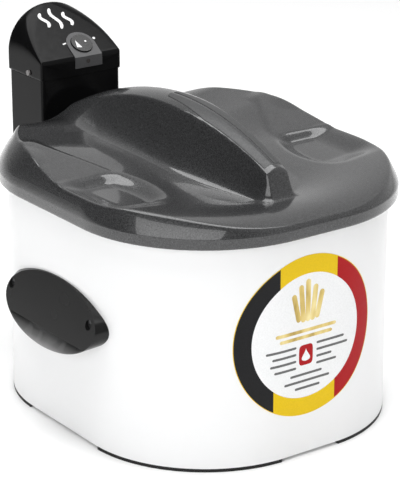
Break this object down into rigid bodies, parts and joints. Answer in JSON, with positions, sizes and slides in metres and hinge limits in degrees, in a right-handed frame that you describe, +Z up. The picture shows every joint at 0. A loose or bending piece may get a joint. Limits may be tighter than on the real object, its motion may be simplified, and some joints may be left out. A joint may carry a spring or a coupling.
{
  "type": "deep fryer",
  "caption": "Counter-top deep fryer: white rounded housing, lift-off ridged dark lid, hanging tank, wire basket and a rear control head with immersed element.",
  "frame": {"origin": "centre of the whole object's footprint box, on the plane its feet rest on", "axes": "+X to the object's right, +Y from its front to its rear, +Z up; the front with the round label faces -Y and the control head stands at +Y"},
  "size_m": [0.3178, 0.406, 0.3064],
  "materials": {
    "enamel": "smooth white stove enamel, satin gloss",
    "base_plastic": "fine-grained black moulding",
    "foot_rubber": "matt black",
    "screw_steel": "zinc plated",
    "handle_plastic": "satin black phenolic",
    "dock_plastic": "matt black",
    "label": "printed white film with a red, black and yellow ring",
    "stainless": "brushed stainless steel",
    "element_steel": "heat-toned sheathed element",
    "head_gloss": "polished black moulding",
    "bezel_grey": "satin grey",
    "dial_black": "black",
    "white_mark": "white print",
    "lamp_lens": "translucent amber",
    "lamp_glass": "neon lamp",
    "copper": "drawn copper tube",
    "brass_parts": "turned brass",
    "switchgear": "ivory phenolic",
    "lead_sleeve": "silicone sleeve",
    "reset_red": "pale grey button",
    "wire_chrome": "plated steel wire",
    "lid_plastic": "anthracite metallic moulding, fine sparkle",
    "lid_metal": "pressed aluminium",
    "seal_rubber": "black silicone",
    "inlay": "fine-textured grey"
  },
  "bodies": {
    "housing": {"outer_shell": "enamel", "base_plate": "base_plastic", "foot_pads": "foot_rubber", "base_screws": "screw_steel", "tank_seat_ring": "dock_plastic", "side_handle_left": "handle_plastic", "side_handle_right": "handle_plastic", "handle_strap_left": "screw_steel", "handle_strap_right": "screw_steel", "handle_screws": "screw_steel", "head_dock": "dock_plastic", "dock_screws": "screw_steel", "front_label": "label"},
    "tank": {"oil_tank": "stainless", "tank_rim": "stainless"},
    "control_head": {"head_cap": "head_gloss", "dial_bezel": "bezel_grey", "pilot_lens": "lamp_lens", "pilot_lamp": "lamp_glass", "dial_scale": "white_mark", "head_body": "head_gloss", "head_cover": "dock_plastic", "head_screws": "screw_steel", "cord_gland": "dock_plastic", "thermostat": "switchgear", "safety_cutout": "switchgear", "terminal_block": "switchgear", "internal_leads": "lead_sleeve", "interlock_switch": "switchgear", "heating_element": "element_steel", "element_bridge": "stainless", "thermostat_bulb": "stainless", "capillary": "copper", "element_clips": "stainless"},
    "dial": {"thermostat_dial": "dial_black", "dial_shaft": "brass_parts", "dial_pointer": "white_mark"},
    "reset": {"reset_button": "reset_red"},
    "basket": {"basket_mesh": "wire_chrome", "basket_rim": "wire_chrome", "drain_hook": "wire_chrome", "handle_bracket": "stainless"},
    "basket_handle": {"handle_frame": "wire_chrome", "handle_grip": "handle_plastic"},
    "lid": {"lid_shell": "lid_plastic", "lid_liner": "lid_metal", "lid_seal": "seal_rubber", "lid_screws": "screw_steel", "grip_inlay_left": "inlay", "grip_inlay_right": "inlay"}
  },
  "joints": [
    {"name": "tank_lift", "type": "slide", "parent": "housing", "child": "tank", "axis": [0, 0, 1], "range_m": [0, 0.17]},
    {"name": "head_lift", "type": "slide", "parent": "tank", "child": "control_head", "axis": [0, 0, 1], "range_m": [0, 0.17]},
    {"name": "basket_lift", "type": "slide", "parent": "control_head", "child": "basket", "axis": [0, 0, 1], "range_m": [0, 0.15]},
    {"name": "lid_lift", "type": "slide", "parent": "basket", "child": "lid", "axis": [0, 0, 1], "range_m": [0, 0.3]},
    {"name": "handle_unfold", "type": "hinge", "parent": "basket", "child": "basket_handle", "pos_m": [0, -0.154, 0.188], "axis": [1, 0, 0], "range_deg": [0, 120]},
    {"name": "dial_turn", "type": "hinge", "parent": "control_head", "child": "dial", "pos_m": [0.0075, 0.1569, 0.27429], "axis": [0, -0.5716, 0.8206], "range_deg": [-240, 0]},
    {"name": "reset_press", "type": "slide", "parent": "control_head", "child": "reset", "axis": [1, 0, 0], "range_m": [0, 0.0015], "stiffness_N_per_m": 600, "springref_m": -0.001}
  ],
  "couplings": [
    {"joint": "handle_unfold", "follows": "lid_lift", "rad_per_m": 6.9803}
  ]
}
